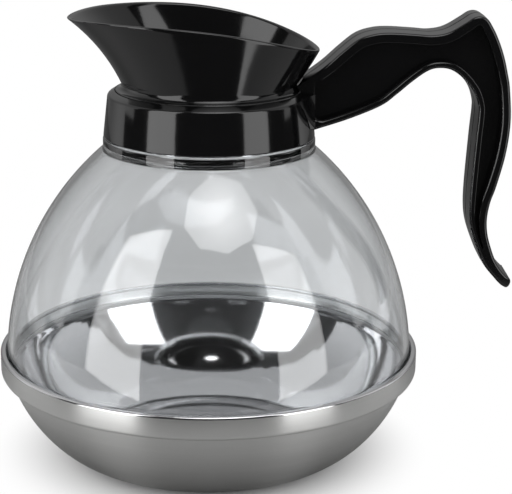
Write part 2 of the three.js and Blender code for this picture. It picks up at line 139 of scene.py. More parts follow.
class DomeSizes(bpy.types.PropertyGroup):
    """Sizes of the clear dome"""

    foot_radius: length("Foot radius", "Outside of the wall at the foot", 0.0824)
    flange_radius: length("Flange radius", "Outside of the foot's flange", DOME_HIGH.x)
    flange_top: length("Flange top", "Top of the foot's flange above the table", 0.0443)
    foot: length("Foot", "Underside of the dome above the table", DOME_LOW.z)
    ledge_bottom: length("Ledge bottom", "Where the dome meets the ring under the collar", 0.1276)
    ledge_top: length("Ledge top", "Top of the ring that carries the collar", 0.1322)
    ledge_radius: length("Ledge radius", "Outside of that ring", 0.0422)
    neck_radius: length("Neck radius", "Outside of the neck", 0.0374)
    neck_top: length("Neck top", "Top of the neck above the table", DOME_HIGH.z)
    wall: length("Wall", "Thickness of the dome's wall", 0.0022)


class CollarSizes(bpy.types.PropertyGroup):
    """Sizes of the collar"""

    radius: length("Radius", "Outside at the bottom", COLLAR_HIGH.x)
    top_radius: length("Top radius", "Outside under the shoulder", 0.0402)
    bore: length("Bore", "Inside, round the clamp strap", 0.0388)
    mouth: length("Mouth", "Hole at the top", 0.0373)
    bottom: length("Bottom", "Lower edge above the table", COLLAR_LOW.z)
    corner: length("Corner", "Outer corner of the shoulder above the table", 0.1489)
    top: length("Top", "Top of the shoulder above the table", COLLAR_HIGH.z)


class FunnelSizes(bpy.types.PropertyGroup):
    """Sizes of the pouring funnel"""

    plug_radius: length("Skirt radius", "Outside of the skirt in the neck", 0.0349)
    throat: length("Throat", "Inside of the skirt", 0.0326)
    waist: length("Waist", "Outside at the narrowest place above the collar", 0.0346)
    flange_radius: length("Flange radius", "Outside of the flange on the neck", 0.037)
    flange_top: length("Flange top", "Top of that flange above the table", 0.1511)
    waist_height: length("Waist height", "Height of the waist above the table", 0.1534)
    rim_height: length("Rim height", "Highest place of the rim above the table", FUNNEL_HIGH.z)
    spout_flare: length("Spout flare", "Rim beyond the waist at the spout", 0.0212)
    back_flare: length("Back flare", "Rim beyond the waist at the back", 0.0091)
    side_flare: length("Side flare", "Rim beyond the waist at the sides", 0.0046)
    back_drop: length("Back drop", "Rim at the back below its highest place", 0.0132)
    spout_drop: length("Spout drop", "Tip of the spout below the highest place", 0.0012)


class HandleSizes(bpy.types.PropertyGroup):
    """Sizes of the handle"""

    width: length("Width", "Across the flanges", 0.02)
    web: length("Web", "Thickness of the web", 0.01)
    flange: length("Flange", "Thickness of the flange on the belly", 0.0025)
    back_flange: length("Back flange", "Thickness of the flange on the back", 0.0038)
    outer_round: length("Outer rounding", "Rounding of the flanges' outer edges", 0.0012)
    inner_round: length("Inner rounding", "Rounding of the flanges' inner edges", 0.0016)
    rim_share: share("Sharper rim", "Share of that rounding on the arm's back and the grip's belly", 0.32)
    edge_round: length("Edge rounding", "Rounding of the cheeks' edges", 0.0006)
    draft: length("Draft", "How far the flanges fall away from the parting line", 0.00015)
    parting: length("Parting line", "Depth of the groove between the mould's halves", 0.0004)


class Finishes(bpy.types.PropertyGroup):
    """Colours and gloss"""

    bowl_colour: colour("Bowl steel", "Colour of the brushed bowl", (0.62, 0.62, 0.61))
    polish_colour: colour("Polished steel", "Colour of the polished inside", (0.62, 0.62, 0.63))
    band_colour: colour("Band steel", "Colour of the satin band", (0.64, 0.64, 0.63))
    clear_colour: colour("Clear wall", "Tint of the polycarbonate", (0.96, 0.975, 0.985))
    plastic_colour: colour("Plastic", "Colour of the black mouldings", (0.0026, 0.0026, 0.0028))
    silicone_colour: colour("Silicone", "Colour of the two seal rings", (0.22, 0.225, 0.23))
    plastic_roughness: share("Plastic roughness", "Gloss of the black mouldings", 0.1)
    brushed_roughness: share("Brushed roughness", "Gloss of the brushed bowl", 0.31)


class StageSettings(bpy.types.PropertyGroup):
    """Studio and camera"""

    floor_colour: colour("Floor", "Colour of the floor", (0.86, 0.86, 0.86))
    side_light: FloatProperty(
        name="Side light", description="Power of each side softbox", default=9.8, min=0.0,
    )
    top_light: FloatProperty(
        name="Top light", description="Brightness of the eight-sided softbox", default=4.0, min=0.0,
    )
    lens: FloatProperty(
        name="Lens", description="Focal length of the camera", default=115.97, min=1.0, unit="CAMERA",
    )
    tilt: angle("Tilt", "How far the camera looks down", 15.88)
    swing: angle("Swing", "How far the camera looks towards the handle", 1.69)
    roll: angle("Roll", "Turn of the camera about its own axis", 0.5)


class CarafeSettings(bpy.types.PropertyGroup):
    """All settings of the carafe"""

    base: PointerProperty(type=BaseSizes)
    dome: PointerProperty(type=DomeSizes)
    collar: PointerProperty(type=CollarSizes)
    funnel: PointerProperty(type=FunnelSizes)
    handle: PointerProperty(type=HandleSizes)
    finish: PointerProperty(type=Finishes)
    stage: PointerProperty(type=StageSettings)


# Lines and meshes


def arc(centre, radius, start, end, steps):
    """Points along a circle's arc, between two angles."""
    turns = [start + (end - start) * i / steps for i in range(steps + 1)]
    return [(centre[0] + radius * math.cos(a), centre[1] + radius * math.sin(a)) for a in turns]


def held(value):
    """The value, held between 0 and 1."""
    return min(max(value, 0.0), 1.0)


def spread(start, end, steps=16):
    """Angles between two given in degrees."""
    return [math.radians(start + (end - start) * i / steps) for i in range(steps + 1)]


def shifted(line, shift):
    """The line moved to its left, at each point by the shift that is worked out for it."""
    moved = []
    for i, point in enumerate(line):
        along = (line[min(i + 1, len(line) - 1)] - line[max(i - 1, 0)]).normalized()
        left = Vector((-along.y, along.x))
        moved.append(point + left * shift(point, left))
    return moved


def spline(points, steps=7):
    """A smooth line through the points, as even Catmull-Rom stretches."""
    ends = [points[0], *points, points[-1]]
    line = []
    for a, b, c, d in zip(ends, ends[1:], ends[2:], ends[3:]):
        a, b, c, d = Vector(a), Vector(b), Vector(c), Vector(d)
        for i in range(steps):
            t = i / steps
            bend = (c - a) * t + (2 * a - 5 * b + 4 * c - d) * t ** 2 + (3 * b - a - 3 * c + d) * t ** 3
            line.append(b + bend / 2)
    return [*line, Vector(points[-1])]


def spun(profile, rounds=(), closed=True, steps=STEPS):
    """A solid spun round Z from a profile of (radius, height), with some of its corners rounded first."""
    bm = bmesh.new()
    chain = [bm.verts.new((radius, 0.0, height)) for radius, height in profile]
    pairs = zip(chain, chain[1:] + chain[:1]) if closed else zip(chain, chain[1:])
    for pair in pairs:
        bm.edges.new(pair)
    for offset, corners in rounds:
        bmesh.ops.bevel(
            bm, geom=[chain[i] for i in corners], offset=offset, offset_type="OFFSET",
            affect="VERTICES", segments=5, profile=0.5, material=-1,
        )
    outline = bm.verts[:] + bm.edges[:]
    bmesh.ops.spin(
        bm, geom=outline, cent=(0, 0, 0), axis=(0, 0, 1), angle=TURN, steps=steps, use_merge=True,
    )
    return tidied(bm)


def tidied(bm):
    """The same mesh with its seams and poles closed and its faces turned outwards."""
    bmesh.ops.remove_doubles(bm, verts=bm.verts, dist=1e-7)
    bmesh.ops.dissolve_degenerate(bm, edges=bm.edges, dist=1e-7)
    bmesh.ops.recalc_face_normals(bm, faces=bm.faces)
    return bm


def slab(outline, direction):
    """A flat outline of points, made thick along a direction."""
    bm = bmesh.new()
    face = bm.faces.new([bm.verts.new(point) for point in outline])
    grown = bmesh.ops.extrude_face_region(bm, geom=[face], use_keep_orig=True)
    moved = [item for item in grown["geom"] if isinstance(item, bmesh.types.BMVert)]
    bmesh.ops.translate(bm, vec=direction, verts=moved)
    return tidied(bm)


def block(low, high):
    bm = bmesh.new()
    bmesh.ops.create_cube(bm, size=1.0)
    low, high = Vector(low), Vector(high)
    bmesh.ops.scale(bm, vec=high - low, verts=bm.verts)
    bmesh.ops.translate(bm, vec=(low + high) / 2, verts=bm.verts)
    return bm


def moulded(outline, levels, share_of=lambda place: 1.0):
    """A flat outline made thick along Y, and drawn in at each level by the depth given with it."""
    low, high = levels[0][0], levels[-1][0]
    bm = slab([(p.x, low, p.y) for p in outline], (0.0, high - low, 0.0))
    bm.normal_update()
    inward = {}
    for vert in bm.verts:
        way = Vector((vert.normal.x, 0.0, vert.normal.z)).normalized()
        inward[round(vert.co.x, 7), round(vert.co.z, 7)] = -way * share_of(vert.co.xz)
    for level, _ in levels[1:-1]:
        whole = bm.verts[:] + bm.edges[:] + bm.faces[:]
        bmesh.ops.bisect_plane(bm, geom=whole, plane_co=(0, level, 0), plane_no=(0, 1, 0))
    for vert in bm.verts:
        depth = min(levels, key=lambda level: abs(level[0] - vert.co.y))[1]
        vert.co += inward[round(vert.co.x, 7), round(vert.co.z, 7)] * depth
    return tidied(bm)


def made_object(name, bm, materials=()):
    """An object of the mesh, with its materials."""
    mesh = bpy.data.meshes.new(name)
    bm.to_mesh(mesh)
    bm.free()
    for material in materials:
        mesh.materials.append(material)
    obj = bpy.data.objects.new(name, mesh)
    bpy.context.scene.collection.objects.link(obj)
    return obj


def combined(base, tool, operation):
    """One closed mesh joined to, cut by or kept inside another."""
    made = [made_object("workpiece", bm) for bm in (base, tool)]
    step = made[0].modifiers.new("Combine", "BOOLEAN")
    step.operation = operation
    step.solver = "EXACT"
    step.object = made[1]
    graph = bpy.context.evaluated_depsgraph_get()
    result = bmesh.new()
    result.from_mesh(made[0].evaluated_get(graph).to_mesh())
    for obj in made:
        mesh = obj.data
        bpy.data.objects.remove(obj)
        bpy.data.meshes.remove(mesh)
    if not result.faces:
        raise RuntimeError("a cut left nothing of a piece")
    return result


def smoothed(bm, limit=32.0):
    """Shades the mesh smooth, but for edges sharper than the limit."""
    for edge in bm.edges:
        edge.smooth = len(edge.link_faces) == 2 and edge.calc_face_angle() < math.radians(limit)
    for face in bm.faces:
        face.smooth = True


def piece(name, bm, node, materials):
    """Makes an object of the mesh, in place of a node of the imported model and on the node's body."""
    smoothed(bm)
    obj = made_object(name, bm, materials)
    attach(obj, frame["nodes"][node]["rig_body"])
    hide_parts(node)
    return obj


# Node groups and materials


def add_node(tree, kind, *values, **settings):
    """The outputs of a new node, with its settings made and its first inputs linked or set."""
    node = tree.nodes.new("ShaderNode" + kind)
    for name, value in settings.items():
        setattr(node, name, value)
    for socket, value in zip(node.inputs, values):
        if isinstance(value, bpy.types.NodeSocket):
            tree.links.new(value, socket)
        elif value is not None:
            socket.default_value = value
    return node.outputs


def math_node(tree, operation, first, second):
    return add_node(tree, "Math", first, second, operation=operation)[0]


def vector_node(tree, operation, *values):
    """A vector operation's outputs: the vector first, and Value where it gives a number."""
    return add_node(tree, "VectorMath", *values, operation=operation)


def noise(tree, vector, scale, detail, roughness):
    return add_node(tree, "TexNoise", vector, None, scale, detail, roughness)["Fac"]


def object_place(tree):
    return add_node(tree, "TexCoord")["Object"]


def off_axis(tree, place):
    """The way from the axis to a place, at no height."""
    return vector_node(tree, "MULTIPLY", place, (1.0, 1.0, 0.0))[0]


def new_group(name, grey, **values):
    """An empty shader node group for a finish, and its named inputs."""
    group = bpy.data.node_groups.new(name, "ShaderNodeTree")
    tint = group.interface.new_socket("Colour", in_out="INPUT", socket_type="NodeSocketColor")
    tint.default_value = (grey, grey, grey, 1.0)
    for label, value in values.items():
        socket = group.interface.new_socket(label, in_out="INPUT", socket_type="NodeSocketFloat")
        socket.default_value = value
    for label, kind in (("Colour", "Color"), ("Roughness", "Float"), ("Height", "Float")):
        group.interface.new_socket(label, in_out="OUTPUT", socket_type="NodeSocket" + kind)
    return group, group.nodes.new("NodeGroupInput").outputs


def put_out(group, given, swing, height):
    """Puts out the relief, and the colour and gloss as they swing over the surface."""
    factor = math_node(group, "ADD", 1.0, math_node(group, "MULTIPLY", swing, given["Contrast"]))
    tint = vector_node(group, "SCALE", given["Colour"], None, None, factor)[0]
    rough = math_node(group, "ADD", given["Roughness"], math_node(group, "MULTIPLY", swing, given["Spread"]))
    out = group.nodes.new("NodeGroupOutput").inputs
    for label, value in (("Colour", tint), ("Roughness", rough), ("Height", height)):
        group.links.new(value, out[label])
    return group


def turned_brushing():
    """Fine lines round the axis, as a turned sheet has from its brushing."""
    group = bpy.data.node_groups.get("turned_brushing")
    if group:
        return group
    group, given = new_group("turned_brushing", 0.6, Contrast=0.1, Roughness=0.3, Spread=0.1, Lines=2500.0)
    place = object_place(group)
    out = off_axis(group, place)
    radius = vector_node(group, "LENGTH", out)["Value"]
    along = math_node(group, "ADD", radius, add_node(group, "SeparateXYZ", place)["Z"])
    lines = math_node(group, "MULTIPLY", along, given["Lines"])
    lift = add_node(group, "CombineXYZ", None, None, lines)[0]
    where = vector_node(group, "ADD", vector_node(group, "NORMALIZE", out)[0], lift)[0]
    fine = math_node(group, "MULTIPLY", noise(group, where, 1.0, 4.0, 0.7), 0.65)
    broad = math_node(group, "MULTIPLY", noise(group, where, 0.13, 2.0, 0.5), 0.35)
    both = math_node(group, "ADD", fine, broad)
    return put_out(group, given, math_node(group, "SUBTRACT", both, 0.5), both)


def moulded_skin():
    """Faint flow marks and fine texture, as a moulded surface has."""
    group = bpy.data.node_groups.get("moulded_skin")
    if group:
        return group
    group, given = new_group("moulded_skin", 0.1, Contrast=0.3, Roughness=0.15, Spread=0.06, Grain=900.0)
    place = object_place(group)
    flow = noise(group, place, 55.0, 3.0, 0.5)
    fine = noise(group, place, given["Grain"], 2.0, 0.5)
    fine_swing = math_node(group, "MULTIPLY", math_node(group, "SUBTRACT", fine, 0.5), 0.5)
    swing = math_node(group, "ADD", math_node(group, "SUBTRACT", flow, 0.5), fine_swing)
    height = math_node(group, "ADD", math_node(group, "MULTIPLY", fine, 0.12), flow)
    return put_out(group, given, swing, height)


def new_material(name):
    material = bpy.data.materials.new(name)
    material.use_nodes = True
    return material


def shader_of(material):
    return material.node_tree.nodes["Principled BSDF"]


def mix_surface(tree, factor, first, second, output="Material Output"):
    """Shows the second shader in place of the first where the factor is 1."""
    mix = add_node(tree, "MixShader", factor, first, second)[0]
    tree.links.new(mix, tree.nodes[output].inputs["Surface"])


def finish_material(name, group, values, bump_depth, bump_strength):
    """A Principled material whose colour, gloss and relief come from a node group."""
    material = new_material(name)
    tree = material.node_tree
    shader = shader_of(material)
    node = tree.nodes.new("ShaderNodeGroup")
    node.node_tree = group
    for label, value in values.items():
        node.inputs[label].default_value = (*value, 1.0) if label == "Colour" else value
    tree.links.new(node.outputs["Colour"], shader.inputs["Base Color"])
    tree.links.new(node.outputs["Roughness"], shader.inputs["Roughness"])
    bump = tree.nodes.new("ShaderNodeBump")
    bump.inputs["Strength"].default_value = bump_strength
    bump.inputs["Distance"].default_value = bump_depth
    tree.links.new(node.outputs["Height"], bump.inputs["Height"])
    tree.links.new(bump.outputs["Normal"], shader.inputs["Normal"])
    return material


def brushed_steel(name, tint, roughness, contrast, spread, lines, grain):
    """Steel with lines round the axis. Grain is how far highlights stretch across the lines."""
    values = {"Colour": tint, "Contrast": contrast, "Roughness": roughness, "Spread": spread, "Lines": lines}
    material = finish_material(name, turned_brushing(), values, bump_depth=0.00002, bump_strength=0.25)
    shader = shader_of(material)
    shader.inputs["Metallic"].default_value = 1.0
    shader.inputs["Anisotropic"].default_value = grain
    shader.inputs["Anisotropic Rotation"].default_value = 0.25
    around = add_node(material.node_tree, "Tangent", direction_type="RADIAL", axis="Z")["Tangent"]
    material.node_tree.links.new(around, shader.inputs["Tangent"])
    return material


def moulded_material(name, tint, roughness, contrast, spread, grain, bump_depth, bump_strength):
    """A moulded finish, made once for all the pieces that have it."""
    material = bpy.data.materials.get(name)
    if material:
        return material
    values = {"Colour": tint, "Contrast": contrast, "Roughness": roughness, "Spread": spread, "Grain": grain}
    return finish_material(name, moulded_skin(), values, bump_depth, bump_strength)


def gloss_plastic(finish):
    return moulded_material(
        "gloss_plastic", finish.plastic_colour, finish.plastic_roughness,
        contrast=0.5, spread=0.05, grain=900.0, bump_depth=0.0002, bump_strength=0.12,
    )


def silicone(finish):
    return moulded_material(
        "grey_silicone", finish.silicone_colour, 0.55,
        contrast=0.25, spread=0.15, grain=1800.0, bump_depth=0.0001, bump_strength=0.2,
    )


def fastener_steel():
    material = moulded_material(
        "fastener_steel", (0.45, 0.455, 0.46), 0.34,
        contrast=0.35, spread=0.2, grain=2500.0, bump_depth=0.00005, bump_strength=0.2,
    )
    shader_of(material).inputs["Metallic"].default_value = 1.0
    return material


def clear_wall(finish):
    """Clear polycarbonate. Lamps shine through it to what is inside."""
    material = moulded_material(
        "clear_polycarbonate", finish.clear_colour, 0.025,
        contrast=0.03, spread=0.02, grain=700.0, bump_depth=0.0002, bump_strength=0.04,
    )
    tree = material.node_tree
    shader = shader_of(material)
    shader.inputs["Transmission Weight"].default_value = 1.0
    shader.inputs["IOR"].default_value = 1.58
    lit = add_node(tree, "BsdfTransparent", (0.9, 0.905, 0.91, 1.0))[0]
    mix_surface(tree, add_node(tree, "LightPath")["Is Shadow Ray"], shader.outputs[0], lit)
    return material


# Pieces


class CARAFE_OT_bowl(bpy.types.Operator):
    """Spins the steel bowl, brushed outside and polished inside"""

    bl_idname = "carafe.bowl"
    bl_label = "Steel bowl"

    def execute(self, context):
        base = context.scene.carafe.base
        finish = context.scene.carafe.finish
        side = interpolate_bezier(
            Vector((base.foot_radius, 0.0)), Vector((base.foot_radius + 0.0205, 0.0)),
            Vector((base.side_radius - 0.003875, base.edge_height - 0.0155)),
            Vector((base.side_radius, base.edge_height)), 49,
        )
        inside = shifted(side, lambda place, left: base.sheet)
        inside[-1].y = base.edge_height + base.sheet
        edge, hub = base.edge_height, 0.02
        profile = [
            (0.0, 0.0), (hub, 0.0), *[tuple(p) for p in side],
            (base.edge_radius, edge), (base.edge_radius, edge + base.sheet),
            *[tuple(p) for p in reversed(inside)], (hub, base.sheet), (0.0, base.sheet),
        ]
        top = len(side) + 3
        bm = spun(profile, [(0.0003, (top, top + 1))], closed=False)
        for face in bm.faces:
            middle = face.calc_center_median()
            inward = face.normal.x * middle.x + face.normal.y * middle.y < 0
            face.material_index = 1 if face.normal.z > 0.2 or inward else 0
        brushed = brushed_steel(
            "brushed_steel", finish.bowl_colour, finish.brushed_roughness, 0.16, 0.16, 2600.0, 0.92,
        )
        polished = brushed_steel("polished_steel", finish.polish_colour, 0.07, 0.08, 0.04, 1500.0, 0.35)
        piece("spun_bowl", bm, "base_bowl", [brushed, polished])
        return {"FINISHED"}


class CARAFE_OT_band(bpy.types.Operator):
    """Spins the crimped band that holds the dome on the bowl"""

    bl_idname = "carafe.band"
    bl_label = "Crimped band"

    def execute(self, context):
        base = context.scene.carafe.base
        finish = context.scene.carafe.finish
        outer, inner = base.rim_radius, base.rim_radius - base.sheet
        low, high = base.rim_bottom, base.rim_top
        bottom_lip = base.side_radius + GAP
        profile = [
            (bottom_lip, low), (outer, low), (outer, high), (base.lip_radius, high),
            (base.lip_radius, high - base.sheet), (inner, high - base.sheet),
            (inner, low + base.sheet), (bottom_lip, low + base.sheet),
        ]
        rounds = [
            (base.rim_round, (1,)), (base.rim_round - base.sheet, (6,)), (0.0009, (2,)),
            (0.0003, (3, 4)), (0.0002, (0, 7)),
        ]
        bm = spun(profile, rounds)
        for face in bm.faces:
            face.material_index = 1 if face.calc_center_median().z > high - 0.0008 else 0
        satin = brushed_steel("satin_steel", finish.band_colour, 0.32, 0.12, 0.1, 3200.0, 0.9)
        edge = brushed_steel("polished_edge", finish.polish_colour, 0.09, 0.06, 0.04, 2500.0, 0.2)
        piece("crimped_band", bm, "rim_band", [satin, edge])
        return {"FINISHED"}


class CARAFE_OT_seal_rings(bpy.types.Operator):
    """Spins the two silicone rings, under the dome's foot and round the funnel's skirt"""

    bl_idname = "carafe.seal_rings"
    bl_label = "Seal rings"

    def execute(self, context):
        rubber = silicone(context.scene.carafe.finish)
        for name, node, width, rounding in (
            ("foot_gasket", "base_gasket", 0.0033, 0.0004),
            ("skirt_seal", "funnel_seal", 0.0012, 0.00055),
        ):
            low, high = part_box(node)
            inner = high.x - width
            ring = [(inner, low.z), (high.x, low.z), (high.x, high.z), (inner, high.z)]
            piece(name, spun(ring, [(rounding, (0, 1, 2, 3))]), node, [rubber])
        return {"FINISHED"}


class CARAFE_OT_dome(bpy.types.Operator):
    """Spins the clear dome with its foot, ledge and neck"""

    bl_idname = "carafe.dome"
    bl_label = "Clear dome"

    def execute(self, context):
        dome = context.scene.carafe.dome
        rise = dome.ledge_bottom - dome.foot
        inward = dome.foot_radius - dome.ledge_radius
        radius = (inward ** 2 + rise ** 2) / (2 * inward)
        centre = (dome.foot_radius - radius, dome.foot)
        inner = radius - dome.wall
        bore = dome.neck_radius - dome.wall
        flange = math.asin((dome.flange_top - dome.foot) / radius)
        outside = arc(centre, radius, flange, math.asin(rise / radius), 64)
        inside = arc(centre, inner, math.acos((bore - centre[0]) / inner), 0.0, 64)
        profile = [
            (dome.flange_radius, dome.foot), (dome.flange_radius, dome.flange_top), *outside,
            (dome.ledge_radius, dome.ledge_top), (dome.neck_radius, dome.ledge_top),
            (dome.neck_radius, dome.neck_top), (bore, dome.neck_top), *inside,
        ]
        last = 1 + len(outside)
        rounds = [
            (0.0004, (0, 1)), (0.0006, (2,)), (0.0009, (last + 1,)), (0.0005, (last, last + 2)),
            (0.0007, (last + 3, last + 4)), (0.002, (last + 5,)), (0.0004, (len(profile) - 1,)),
        ]
        piece("clear_dome", spun(profile, rounds), "dome", [clear_wall(context.scene.carafe.finish)])
        return {"FINISHED"}


class CARAFE_OT_clamp(bpy.types.Operator):
    """Finishes the strap and nut that clamp the collar and handle to the neck, and makes their screw"""

    bl_idname = "carafe.clamp"
    bl_label = "Clamp"

    def execute(self, context):
        steel = fastener_steel()
        for node in ("clamp_strap", "clamp_nut"):
            mesh = frame["nodes"][node].data
            mesh.materials.clear()
            mesh.materials.append(steel)
        piece("clamp_bolt", self.bolt(), "clamp_screw", [steel])
        return {"FINISHED"}

    def bolt(self):
        """A screw along Y with a pan head and a driver cross."""
        low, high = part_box("clamp_screw")
        middle, head, seat = (low + high) / 2, (high.x - low.x) / 2, high.y - 0.002
        shank, point = 0.0015, 0.0003
        bm = spun([
            (0.0, low.y), (0.0012, low.y), (shank, low.y + point), (shank, seat), (head, seat),
            (head, high.y), (0.0, high.y),
        ], [(0.0013, (5,)), (0.0002, (4,))], closed=False, steps=48)
        bmesh.ops.rotate(bm, matrix=Matrix.Rotation(-math.pi / 2, 3, "X"), verts=bm.verts)
        bmesh.ops.translate(bm, vec=(middle.x, 0.0, middle.z), verts=bm.verts)
        top = Vector((middle.x, high.y, middle.z))
        for half in (Vector((0.0017, 0.001, 0.0004)), Vector((0.0004, 0.001, 0.0017))):
            bm = combined(bm, block(top - half, top + half), "DIFFERENCE")
        return bm


class CARAFE_OT_collar(bpy.types.Operator):
    """Spins the collar round the neck"""

    bl_idname = "carafe.collar"
    bl_label = "Collar"

    def execute(self, context):
        collar = context.scene.carafe.collar
        bore_top = context.scene.carafe.dome.neck_top + GAP
        profile = [
            (collar.bore, collar.bottom), (collar.radius, collar.bottom), (collar.top_radius, collar.corner),
            (collar.mouth, collar.top), (collar.mouth, bore_top), (collar.bore, bore_top),
        ]
        bm = spun(profile, [(0.0005, (1,)), (0.0007, (2,)), (0.0003, (0, 3, 4))])
        low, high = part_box("clamp_strap")
        slot = block(
            (collar.mouth, -EAR_SLOT, low.z - GAP), (collar.radius + GAP, EAR_SLOT, high.z + GAP),
        )
        bm = combined(bm, slot, "DIFFERENCE")
        piece("neck_collar", bm, "collar", [gloss_plastic(context.scene.carafe.finish)])
        return {"FINISHED"}


class CARAFE_OT_funnel(bpy.types.Operator):
    """Spins a sleeve of rings and opens it out into the oval pouring funnel"""

    bl_idname = "carafe.funnel"
    bl_label = "Pouring funnel"

    def execute(self, context):
        size = context.scene.carafe.funnel
        skirt_bottom = FUNNEL_LOW.z
        neck_top = context.scene.carafe.dome.neck_top
        seal_low, seal_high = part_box("funnel_seal")
        groove = size.plug_radius - 0.0015
        groove_low, groove_high = seal_low.z - GAP, seal_high.z + GAP
        tip = -(size.waist + size.spout_flare)
        peak = tip + 0.0176
        back = size.waist + size.back_flare

        def rim_height(x):
            over = (x - peak) / (back - peak) if x > peak else (peak - x) / (peak - tip)
            return size.rim_height - (size.back_drop if x > peak else size.spout_drop) * over ** 2.5

        def flare(way, turn, waist):
            """A place on the flared wall, from 0 at the waist to 1 at the rim."""
            half_length = (size.spout_flare + size.back_flare) / 2 + waist
            middle = (size.back_flare - size.spout_flare) / 2
            foot = Vector((waist * math.cos(turn), waist * math.sin(turn), size.waist_height))
            half_width = size.side_flare + waist
            lip = Vector((middle + half_length * math.cos(turn), half_width * math.sin(turn), 0.0))
            lip.z = rim_height(middle + (half_length + size.waist - waist) * math.cos(turn))
            rear = (1 + math.cos(turn)) / 2
            out, up = 0.34 + 0.22 * rear, 0.6 - 0.14 * rear
            bend = foot + Vector(((lip.x - foot.x) * out, (lip.y - foot.y) * out, (lip.z - foot.z) * up))
            return foot * (1 - way) ** 2 + bend * (2 * way * (1 - way)) + lip * way ** 2

        def lip_round(turn, swing):
            """A place on the rounded edge of the rim."""
            outer, inner = flare(1.0, turn, size.waist), flare(1.0, turn, size.throat)
            below = (flare(0.96, turn, size.waist) + flare(0.96, turn, size.throat)) / 2
            middle = (outer + inner) / 2
            up = (middle - below).normalized()
            half = (outer - inner) / 2
            reach = half.length
            return middle - up * reach + half * math.cos(swing) + up * (reach * math.sin(swing))

        def around(radius, height):
            return lambda turn: Vector((radius * math.cos(turn), radius * math.sin(turn), height))

        chamfer = 0.0003
        fillet = size.flange_radius - size.waist
        drop = size.waist_height - size.flange_top
        rings = [
            around(size.throat, skirt_bottom + 0.0006), around(size.throat + 0.0006, skirt_bottom),
            around(size.plug_radius - 0.0008, skirt_bottom), around(size.plug_radius, skirt_bottom + 0.0008),
            around(size.plug_radius, groove_low), around(groove, groove_low),
            around(groove, groove_high), around(size.plug_radius, groove_high),
            around(size.plug_radius, neck_top + GAP), around(size.flange_radius, neck_top + GAP),
            around(size.flange_radius, size.flange_top - chamfer),
            around(size.flange_radius - chamfer, size.flange_top),
        ]
        for i in range(1, 8):
            swing = math.pi / 2 * i / 8
            rings.append(around(
                size.waist + fillet * 0.88 * (1 - math.sin(swing)),
                size.flange_top + drop * (1 - math.cos(swing)),
            ))
        rise = [0.965 * i / 28 for i in range(28)]
        rings += [lambda turn, way=way: flare(way, turn, size.waist) for way in rise]
        rings += [lambda turn, swing=swing: lip_round(turn, swing) for swing in spread(0, 180, 8)]
        rings += [lambda turn, way=way: flare(way, turn, size.throat) for way in reversed(rise)]
        bm = bmesh.new()
        chain = [bm.verts.new((1.0, 0.0, float(level))) for level in range(len(rings))]
        for pair in zip(chain, chain[1:] + chain[:1]):
            bm.edges.new(pair)
        bmesh.ops.spin(
            bm, geom=bm.verts[:] + bm.edges[:], cent=(0, 0, 0), axis=(0, 0, 1),
            angle=TURN, steps=STEPS, use_merge=True,
        )
        for vert in bm.verts:
            vert.co = rings[round(vert.co.z)](math.atan2(vert.co.y, vert.co.x))
        bm = tidied(bm)
        piece("flared_funnel", bm, "funnel", [gloss_plastic(context.scene.carafe.finish)])
        return {"FINISHED"}


